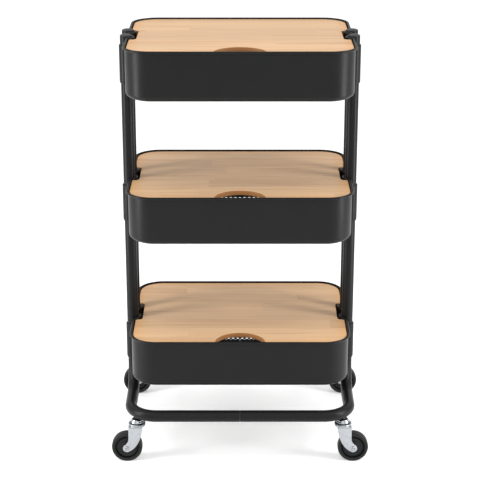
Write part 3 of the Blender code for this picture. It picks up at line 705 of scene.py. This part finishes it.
def perforation(name, half_x, half_y, corner_r, low_z, high_z):
    """Hexagonal cells, each with a twelve-sided hole, over a rounded rectangle; edges are walled."""
    cell_r = HOLE_PITCH / sqrt(3)
    row_step = HOLE_PITCH * sqrt(3) / 2
    places = {}
    tops = []
    faces = []
    sides = {}

    def vertex(x, y):
        key = (round(x * 1e7), round(y * 1e7))
        if key not in places:
            places[key] = len(tops)
            tops.append((x, y))
        return places[key]

    def inside(x, y):
        dx = max(abs(x) - (half_x - corner_r), 0.0)
        dy = max(abs(y) - (half_y - corner_r), 0.0)
        return dx * dx + dy * dy < corner_r * corner_r

    rows = int(half_y / row_step) + 1
    columns = int(half_x / HOLE_PITCH) + 1
    for row in range(-rows, rows + 1):
        for column in range(-columns, columns + 1):
            x = (column + 0.5 * (row % 2)) * HOLE_PITCH
            y = row * row_step
            if not inside(x, y):
                continue
            corners = [vertex(x + cell_r * cos(pi / 6 + pi / 3 * i), y + cell_r * sin(pi / 6 + pi / 3 * i))
                       for i in range(6)]
            holes = [vertex(x + HOLE_R * cos(pi / 6 + pi / 6 * i), y + HOLE_R * sin(pi / 6 + pi / 6 * i))
                     for i in range(12)]
            for i in range(6):
                a, b = corners[i], corners[(i + 1) % 6]
                h = [holes[2 * i], holes[2 * i + 1], holes[(2 * i + 2) % 12]]
                faces += [(a, h[1], h[0]), (a, b, h[1]), (b, h[2], h[1])]
                sides.setdefault(frozenset((a, b)), []).append((a, b))
            for i in range(12):
                sides[frozenset((holes[i], holes[(i + 1) % 12]))] = [(holes[i], holes[(i + 1) % 12])]
    count = len(tops)
    points = [(x, y, high_z) for x, y in tops] + [(x, y, low_z) for x, y in tops]
    made = list(faces) + [tuple(count + i for i in face) for face in faces]
    made += [(a, b, count + b, count + a) for pairs in sides.values() if len(pairs) == 1 for a, b in pairs]
    return mesh_of(name, points, made, radians(30))


def clamp_line():
    """Plan line of a saddle clamp's inner face on the +X side, as (point, outward normal)."""
    face_x = SIDE_X + TOUCH
    saddle_r = TUBE_R + TOUCH
    bend_r = CLAMP_BEND_R + CLAMP_THICKNESS
    bend_x = face_x + bend_r
    reach = saddle_r + bend_r
    tube = Vector((TUBE_X, TUBE_Y))
    inner_bend = Vector((bend_x, TUBE_Y - reach))
    outer_bend = Vector((bend_x, TUBE_Y + reach))
    out = Vector((1.0, 0.0))
    half = [(Vector((face_x, 0.0)), out)]
    half += [(p, (inner_bend - p).normalized()) for p in arc(inner_bend, bend_r, -pi, -1.5 * pi, 8)]
    half += [(p, (p - tube).normalized()) for p in arc(tube, saddle_r, -pi / 2, pi / 2, 28)]
    half += [(p, (outer_bend - p).normalized()) for p in arc(outer_bend, bend_r, -pi / 2, -pi, 8)]
    half.append((Vector((face_x, TUBE_Y + reach + CLAMP_FLANGE)), out))
    mirrored = [(Vector((p.x, -p.y)), Vector((n.x, -n.y))) for p, n in reversed(half[1:])]
    return mirrored + half


def saddle_clamp(name, side, low_z, high_z):
    """A pressed saddle, its lower edge drawn in further than its upper one."""
    line = clamp_line()
    thin = CLAMP_THICKNESS * 0.25
    drawn = CLAMP_THICKNESS - thin
    profile = [(0.0, low_z)]
    for i in range(9):
        a = pi / 2 * i / 8
        profile.append((thin + drawn * sin(a), low_z + CLAMP_LOWER_RISE * (1 - cos(a))))
    for i in range(7):
        a = pi / 2 * i / 6
        profile.append((thin + drawn * cos(a), high_z - CLAMP_UPPER_FALL + CLAMP_UPPER_FALL * sin(a)))
    profile.append((0.0, high_z))
    count = len(profile)
    points = []
    for p, n in line:
        for offset, z in profile:
            points.append((side * (p.x + n.x * offset), side * (p.y + n.y * offset), z))
    faces = []
    for i in range(len(line) - 1):
        for k in range(count):
            m = (k + 1) % count
            faces.append((i * count + k, i * count + m, (i + 1) * count + m, (i + 1) * count + k))
    faces.append(tuple(range(count)))
    faces.append(tuple((len(line) - 1) * count + k for k in range(count)))
    return mesh_of(name, points, faces, radians(42))


def pan_screw(name, side, level, side_name):
    """A pan head with a hexagon socket, on a shank that runs into the weld nut."""
    low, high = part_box(f"clamp_screw_{level}_{side_name}")
    seat_x = SIDE_X + TOUCH + CLAMP_THICKNESS + TOUCH
    head_r = (high.z - low.z) / 2
    reach = max(abs(low.x), abs(high.x))
    head_height = reach - seat_x
    shank = reach - min(abs(low.x), abs(high.x)) - head_height
    steps = 36
    socket_r = head_r * 0.46

    def ring(radius, z, hexagon=False):
        line = []
        for k in range(steps):
            angle = 2 * pi * k / steps
            r = hexagon_reach(radius, angle) if hexagon else radius
            line.append((r * cos(angle), r * sin(angle), z))
        return line

    rings = [
        ring(0.0, head_height * 0.35), ring(socket_r * 0.98, head_height * 0.40, True),
        ring(socket_r, head_height * 0.98, True), ring(socket_r * 1.12, head_height, False),
        ring(head_r * 0.66, head_height * 0.99), ring(head_r * 0.84, head_height * 0.86),
        ring(head_r * 0.96, head_height * 0.58), ring(head_r, head_height * 0.28), ring(head_r, 0.0),
        ring(SCREW_R, 0.0), ring(SCREW_R, -shank + SHANK_CHAMFER), ring(SHANK_END_R, -shank),
        ring(0.0, -shank),
    ]
    mesh = mesh_of(name, *loft(rings), radians(30))
    z = (low.z + high.z) / 2
    mesh.transform(Matrix.Translation((side * seat_x, 0.0, z)) @ Matrix.Rotation(side * pi / 2, 4, "Y"))
    return mesh


def lid_outline():
    """The board's outline: rounded corners, a shallow notch at each tube pair and a finger cut-out."""
    half_x = SIDE_X - SHEET - LID_GAP
    half_y = FRONT_Y - SHEET - LID_GAP
    notch_x = TUBE_X - FLUTE_R - SHEET - LID_NOTCH_GAP
    notch_y = TUBE_Y + FLUTE_REACH
    corner_r = TRAY_CORNER_R - SHEET - LID_GAP
    notch_r = LID_NOTCH_CORNER_R
    mouth_r = LID_MOUTH_CORNER_R
    quarter = [Vector((notch_x, 0.0))]
    quarter += arc((notch_x + notch_r, notch_y - notch_r), notch_r, pi, pi / 2, 8)
    quarter += arc((half_x - mouth_r, notch_y + mouth_r), mouth_r, -pi / 2, 0, 6)
    quarter += arc((half_x - corner_r, half_y - corner_r), corner_r, 0, pi / 2, 20)
    quarter.append(Vector((0.0, half_y)))
    loop = around(quarter)
    ease = CUT_EASE
    turn = ease / FINGER_CUT_R
    cut = arc((0.0, -half_y), FINGER_CUT_R, pi - turn, turn, 40)
    left = Vector((-FINGER_CUT_R, -half_y))
    right = Vector((FINGER_CUT_R, -half_y))
    cut = bow(left - Vector((ease, 0.0)), left, cut[0], 4)[:-1] + cut
    cut = cut + bow(cut[-1], right, right + Vector((ease, 0.0)), 4)[1:]
    middle = loop.index(min(loop, key=lambda p: (p - Vector((0.0, -half_y))).length))
    return loop[:middle] + cut + loop[middle + 1:]


def build_trays():
    outline = lid_outline()
    for level in LEVELS:
        rim = RIMS[level]
        add_piece(f"tray_shell_{level}", tray_shell(f"tray_shell_{level}", rim),
                  COATED, "frame", "tray_sheet", f"tray_{level}")
        add_piece(f"tray_fittings_{level}", tray_fittings(f"tray_fittings_{level}", level, rim),
                  COATED, "frame", "tray_sheet")
        low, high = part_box(f"mesh_floor_{level}")
        add_piece(f"perforated_floor_{level}", perforated_floor(f"perforated_floor_{level}", low, high),
                  COATED_FLOOR, "frame", "mesh_floor", f"mesh_floor_{level}")
        place = Matrix.Translation((0.0, 0.0, rim - LID_BELOW_RIM - LID_THICKNESS / 2))
        board = flat_piece(f"lid_board_{level}", outline, LID_THICKNESS, LID_EDGE_R, place)
        add_piece(f"lid_board_{level}", board, WOOD, f"lid_{level}", "lid_wood", f"lid_{level}")
        for side_name, side in SIDES.items():
            name = f"{level}_{side_name}"
            low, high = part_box(f"clamp_{name}")
            add_piece(f"saddle_clamp_{name}", saddle_clamp(f"saddle_clamp_{name}", side, low.z, high.z),
                      COATED, "frame", "clamp", f"clamp_{name}")
            add_piece(f"pan_screw_{name}", pan_screw(f"pan_screw_{name}", side, level, side_name),
                      AXLE_STEEL, "frame", "screw", f"clamp_screw_{name}")


# ---------------------------------------------------------------- casters
# A caster's own frame: its swivel axis is local Z, the floor is z = 0, and the wheel trails towards +X.

FORK_SHEET = 0.0018
FORK_SIDE_GAP = 0.0018
FORK_BOSS_R = 0.0074
FORK_LEADING_X = 0.0110
FORK_TRAILING_X = 0.0157
FORK_SHOULDER_R = 0.0024
FORK_THROAT_R = 0.0010
FORK_EDGE_R = 0.00032
FORK_SLOT_REACH = 0.06
CROWN_R = 0.016
CROWN_HEIGHT = 0.0072
BUSH_HEIGHT = 0.0013
SOCKET_FIT = 0.0005
STEM_R = 0.004
KINGPIN_R = 0.0036
KINGPIN_HEAD_R = 0.0062
PIN_HOLE_R = 0.0040
AXLE_R = 0.003
WHEEL_FIT = 0.0004
WEB_SETBACK = 0.0016
TYRE_SETBACK = 0.0009
WHEEL_STEPS = 96


def fork_outline(trail, axle_z, leg_top, crown_bottom):
    """A fork leg from the side, x along the trail and y up, its edges bowed down to the axle boss."""
    knee = (crown_bottom - axle_z) * 0.52
    round_boss = arc((trail, axle_z), FORK_BOSS_R, radians(-125), radians(50), 20)
    leading_pull = Vector((-FORK_LEADING_X / 2, axle_z + FORK_BOSS_R * 0.4))
    trailing_pull = Vector((FORK_TRAILING_X, axle_z + knee / 2))
    outline = bow(Vector((-FORK_LEADING_X, leg_top)), leading_pull, round_boss[0], 16)
    outline += round_boss[1:]
    outline += bow(round_boss[-1], trailing_pull, Vector((FORK_TRAILING_X, axle_z + knee)), 10)[1:]
    outline.append(Vector((FORK_TRAILING_X, leg_top)))
    return outline


def prism(points, half_width):
    """A closed block from an outline in XZ, its width along Y."""
    work = bmesh.new()
    near = [work.verts.new((p[0], -half_width, p[1])) for p in points]
    far = [work.verts.new((p[0], half_width, p[1])) for p in points]
    work.faces.new(near)
    work.faces.new(list(reversed(far)))
    for i in range(len(points)):
        j = (i + 1) % len(points)
        work.faces.new((near[i], near[j], far[j], far[i]))
    bmesh.ops.recalc_face_normals(work, faces=work.faces)
    return work


def round_top(work, half_width, top, radius, segments):
    """Rounds the two long top edges of a block."""
    chosen = []
    for edge in work.edges:
        if all(abs(v.co.z - top) < 1e-6 and abs(abs(v.co.y) - half_width) < 1e-6 for v in edge.verts):
            if abs(edge.verts[0].co.y - edge.verts[1].co.y) < 1e-6:
                chosen.append(edge)
    bmesh.ops.bevel(work, geom=chosen, offset=radius, segments=segments, profile=0.5, affect="EDGES")


def fork_mesh(trail, axle_z, gap, crown_bottom):
    """Pressed sheet bent into a crown plate and two legs."""
    half = gap + FORK_SHEET
    leg_top = crown_bottom + FORK_SHEET
    work = prism(fork_outline(trail, axle_z, leg_top, crown_bottom), half)
    round_top(work, half, leg_top, FORK_SHOULDER_R, 5)
    block = bpy.data.meshes.new("fork_block")
    work.to_mesh(block)
    work.free()
    reach = FORK_SLOT_REACH
    slot_line = [(-reach, crown_bottom - reach), (reach, crown_bottom - reach), (reach, crown_bottom),
                 (-reach, crown_bottom)]
    work = prism(slot_line, gap)
    round_top(work, gap, crown_bottom, FORK_THROAT_R, 3)
    slot = bpy.data.meshes.new("fork_slot")
    work.to_mesh(slot)
    work.free()
    fork = working("fork_work", block)
    cutter = working("fork_cutter", slot)
    cutter.hide_render = True
    boolean = fork.modifiers.new("slot", "BOOLEAN")
    boolean.operation = "DIFFERENCE"
    boolean.solver = "EXACT"
    boolean.object = cutter
    bevel = fork.modifiers.new("eased", "BEVEL")
    bevel.width = FORK_EDGE_R
    bevel.segments = 2
    bevel.limit_method = "ANGLE"
    bevel.angle_limit = radians(48)
    mesh = baked(fork, sharpest=radians(50))
    bpy.data.objects.remove(cutter, do_unlink=True)
    return mesh


def build_caster(name, side):
    stem_low, stem_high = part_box(f"caster_stem_{name}")
    socket_low, socket_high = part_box(f"caster_socket_{name}")
    fork_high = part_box(f"caster_fork_{name}")[1]
    tyre_low, tyre_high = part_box(f"wheel_tyre_{name}")
    core_low, core_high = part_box(f"wheel_core_{name}")
    swivel = (stem_low + stem_high) / 2
    wheel = (tyre_low + tyre_high) / 2
    trail = abs(wheel.x - swivel.x)
    place = Matrix.Translation((swivel.x, swivel.y, 0.0)) @ Matrix.Rotation(0.0 if side > 0 else pi, 4, "Z")
    at_axle = place @ Matrix.Translation((trail, 0.0, wheel.z)) @ Matrix.Rotation(pi / 2, 4, "X")
    caster, spinning = f"caster_{name}", f"wheel_{name}"

    socket_r = (socket_high.x - socket_low.x) / 2
    bush_bottom = socket_high.z - BUSH_HEIGHT
    bush = turned(f"weld_bush_{name}", [
        (socket_r, socket_high.z), (socket_r, bush_bottom), (STEM_R + SOCKET_FIT, bush_bottom),
        (STEM_R + SOCKET_FIT, socket_high.z),
    ], closed=True, corner_r=0.0003, matrix=place)
    add_piece(f"weld_bush_{name}", bush, COATED, "frame", "caster_socket", f"caster_socket_{name}")

    cup_r = (stem_high.x - stem_low.x) / 2
    cup_top = bush_bottom - TOUCH
    crown_top = fork_high.z
    cup_bottom = crown_top + TOUCH
    crown_bottom = crown_top - CROWN_HEIGHT
    head_top = crown_bottom - TOUCH
    stem = turned(f"swivel_head_{name}", [
        (0.0, stem_high.z), (STEM_R, stem_high.z), (STEM_R, cup_top), (cup_r * 0.60, cup_top),
        (cup_r * 0.74, cup_top - 0.0005), (cup_r * 0.84, cup_top - 0.0018), (cup_r * 0.89, cup_top - 0.0036),
        (cup_r * 0.93, cup_top - 0.0044), (cup_r, cup_top - 0.0054), (cup_r, cup_bottom + 0.0009),
        (cup_r * 0.90, cup_bottom), (KINGPIN_R, cup_bottom), (KINGPIN_R, head_top),
        (KINGPIN_HEAD_R, head_top), (0.0055, head_top - 0.0013), (0.0034, stem_low.z), (0.0, stem_low.z),
    ], steps=64, corner_r=0.0006, matrix=place)
    add_piece(f"swivel_head_{name}", stem, RING_STEEL, "frame", "caster_zinc", f"caster_stem_{name}")

    gap = (tyre_high.y - tyre_low.y) / 2 + FORK_SIDE_GAP
    fork = fork_mesh(trail, wheel.z, gap, crown_bottom)
    fork.transform(place)
    crown = turned("race_crown", [
        (CROWN_R * 0.74, crown_top - 0.0010), (CROWN_R * 0.82, crown_top),
        (CROWN_R * 0.93, crown_top - 0.0003), (CROWN_R, crown_top - 0.0012),
        (CROWN_R * 0.99, crown_top - 0.0024), (CROWN_R * 0.87, crown_top - 0.0027),
        (CROWN_R * 0.87, crown_top - 0.0034), (CROWN_R * 0.96, crown_top - 0.0037),
        (CROWN_R * 0.965, crown_bottom + 0.0018), (CROWN_R * 0.84, crown_bottom + 0.0013),
        (CROWN_R * 0.84, crown_bottom + 0.0002), (PIN_HOLE_R, crown_bottom + 0.0002),
        (PIN_HOLE_R, crown_top - 0.0010),
    ], steps=72, closed=True, matrix=place)
    shell = joined(f"fork_{name}", [fork, crown])
    add_piece(f"fork_{name}", shell, ZINC, caster, "caster_zinc", f"caster_fork_{name}")

    axle_low, axle_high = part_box(f"caster_axle_{name}")
    reach = (axle_high.y - axle_low.y) / 2
    leg_face = gap + FORK_SHEET + TOUCH
    head_r = (axle_high.z - axle_low.z) / 2
    rise = reach - leg_face
    half = [
        (0.0, leg_face + rise * 0.45), (head_r * 0.30, leg_face + rise * 0.50), (head_r * 0.42, reach),
        (head_r * 0.70, leg_face + rise * 0.92), (head_r * 0.94, leg_face + rise * 0.5),
        (head_r, leg_face), (AXLE_R, leg_face),
    ]
    axle = turned(f"axle_rivet_{name}", half + [(r, -z) for r, z in reversed(half)], matrix=at_axle)
    add_piece(f"axle_rivet_{name}", axle, AXLE_STEEL, caster, "axle_steel", f"caster_axle_{name}")

    hub_half = (core_high.y - core_low.y) / 2
    seat_r = (core_high.z - core_low.z) / 2
    half_width = (tyre_high.y - tyre_low.y) / 2
    wheel_r = (tyre_high.z - tyre_low.z) / 2
    bore = AXLE_R + WHEEL_FIT
    face = half_width - WEB_SETBACK
    half = [
        (bore, hub_half), (0.0068, hub_half), (0.0080, hub_half - 0.0012), (0.0092, face - 0.0012),
        (0.0104, face - 0.0018), (seat_r - 0.0040, face - 0.0010), (seat_r - 0.0031, face - 0.0014),
        (seat_r - 0.0026, face - 0.0044), (seat_r - 0.0012, face - 0.0044),
        (seat_r - 0.0007, half_width - TYRE_SETBACK), (seat_r, half_width - TYRE_SETBACK),
    ]
    core = turned(f"wheel_centre_{name}", half + [(r, -z) for r, z in reversed(half)], WHEEL_STEPS, True,
                  0.0005, at_axle)
    add_piece(f"wheel_centre_{name}", core, WHEEL_PLASTIC, spinning, "wheel_core", f"wheel_core_{name}")

    seat = seat_r + WHEEL_FIT
    half = [
        (seat, half_width - TYRE_SETBACK), (seat + 0.0012, half_width - 0.0002),
        (wheel_r - 0.0028, half_width), (wheel_r - 0.0008, half_width - 0.0010),
        (wheel_r - 0.0001, half_width - 0.0032),
        (wheel_r, half_width * 0.45),
    ]
    tyre = turned(f"wheel_tread_{name}", half + [(r, -z) for r, z in reversed(half)], WHEEL_STEPS, True,
                  0.0009, at_axle)
    add_piece(f"wheel_tread_{name}", tyre, TREAD_RUBBER, spinning, "wheel_tyre", f"wheel_tyre_{name}")


# ---------------------------------------------------------------- camera, floor and light

CAMERA_BEFORE_TRAY = 2.470
CAMERA_ABOVE_RIM = 0.5172
CAMERA_PITCH = radians(19.123)
LENS = 110.516
SENSOR_WIDTH = 36.0


def build_camera():
    data = bpy.data.cameras.new("camera")
    data.lens = LENS
    data.sensor_width = SENSOR_WIDTH
    camera = bpy.data.objects.new("camera", data)
    bpy.context.scene.collection.objects.link(camera)
    camera.location = (0.0, -FRONT_Y - CAMERA_BEFORE_TRAY, RIMS["upper"] + CAMERA_ABOVE_RIM)
    camera.rotation_euler = (pi / 2 - CAMERA_PITCH, 0.0, 0.0)
    bpy.context.scene.camera = camera


def area_light(name, location, target, size, power):
    data = bpy.data.lights.new(name, "AREA")
    data.shape = "RECTANGLE"
    data.size, data.size_y = size
    data.energy = power
    light = bpy.data.objects.new(name, data)
    bpy.context.scene.collection.objects.link(light)
    light.location = location
    light.visible_camera = False
    aim = Vector(target) - Vector(location)
    light.rotation_euler = aim.to_track_quat("-Z", "Y").to_euler()


# The soft sky by height (the sine of the angle up) and how bright it is: pale at the horizon, dim above it
DOME_STOPS = ((0.0, 0.83), (0.055, 0.83), (0.11, 0.335), (0.42, 1.0))
DOME_STRENGTH = 1.12
FLOOR_SIZE = 60.0
FLOOR_GLOW = 0.22
# Name, place, what it points at, size and power in watts
LAMPS = (
    ("overhead", (0.0, -0.5, 2.9), (0.0, 0.0, 0.3), (2.4, 2.0), 9.0),
    ("left_strip", (-1.35, -0.55, 0.75), (0.0, 0.0, 0.45), (0.40, 1.5), 22.0),
    ("right_strip", (1.35, -0.55, 0.75), (0.0, 0.0, 0.45), (0.40, 1.5), 22.0),
    ("front_strip", (0.0, -2.6, 1.25), (0.0, 0.0, 0.1), (2.2, 0.35), 9.0),
)


def build_studio():
    work = bmesh.new()
    bmesh.ops.create_grid(work, x_segments=1, y_segments=1, size=FLOOR_SIZE / 2)
    mesh = bpy.data.meshes.new("studio_floor")
    work.to_mesh(mesh)
    work.free()
    surface = Nodes("pale_floor")
    mottle = surface.noise(surface.place(), 3.0, 2.0)
    shade = surface.mix(mottle, rgba(0.86, 0.86, 0.86), rgba(0.88, 0.88, 0.88))
    floor_material = surface.finish(shade, 0.75, 0.0)
    skin = next(node for node in floor_material.node_tree.nodes if node.type == "BSDF_PRINCIPLED")
    skin.inputs["Emission Color"].default_value = rgba(1.0, 1.0, 1.0)
    skin.inputs["Emission Strength"].default_value = FLOOR_GLOW
    mesh.materials.append(floor_material)
    ground = bpy.data.objects.new("studio_floor", mesh)
    bpy.context.scene.collection.objects.link(ground)
    world = bpy.data.worlds.new("studio")
    bpy.context.scene.world = world
    world.use_nodes = True
    tree = world.node_tree
    height = tree.nodes.new("ShaderNodeSeparateXYZ")
    tree.links.new(tree.nodes.new("ShaderNodeTexCoord").outputs["Generated"], height.inputs[0])
    dome = tree.nodes.new("ShaderNodeValToRGB")
    dome.color_ramp.interpolation = "EASE"
    tree.links.new(height.outputs[2], dome.inputs[0])
    stops = dome.color_ramp.elements
    for spot in DOME_STOPS[2:]:
        stops.new(spot[0])
    for stop, (position, grey) in zip(stops, DOME_STOPS):
        stop.position = position
        stop.color = rgba(grey, grey, grey)
    background = tree.nodes["Background"]
    background.inputs["Strength"].default_value = DOME_STRENGTH
    tree.links.new(dome.outputs[0], background.inputs["Color"])
    for lamp in LAMPS:
        area_light(*lamp)


bpy.context.scene.view_settings.view_transform = "Standard"
build_camera()
build_studio()
build_frame()
build_trays()
for corner_name, _, corner_side in CORNERS:
    build_caster(corner_name, corner_side)
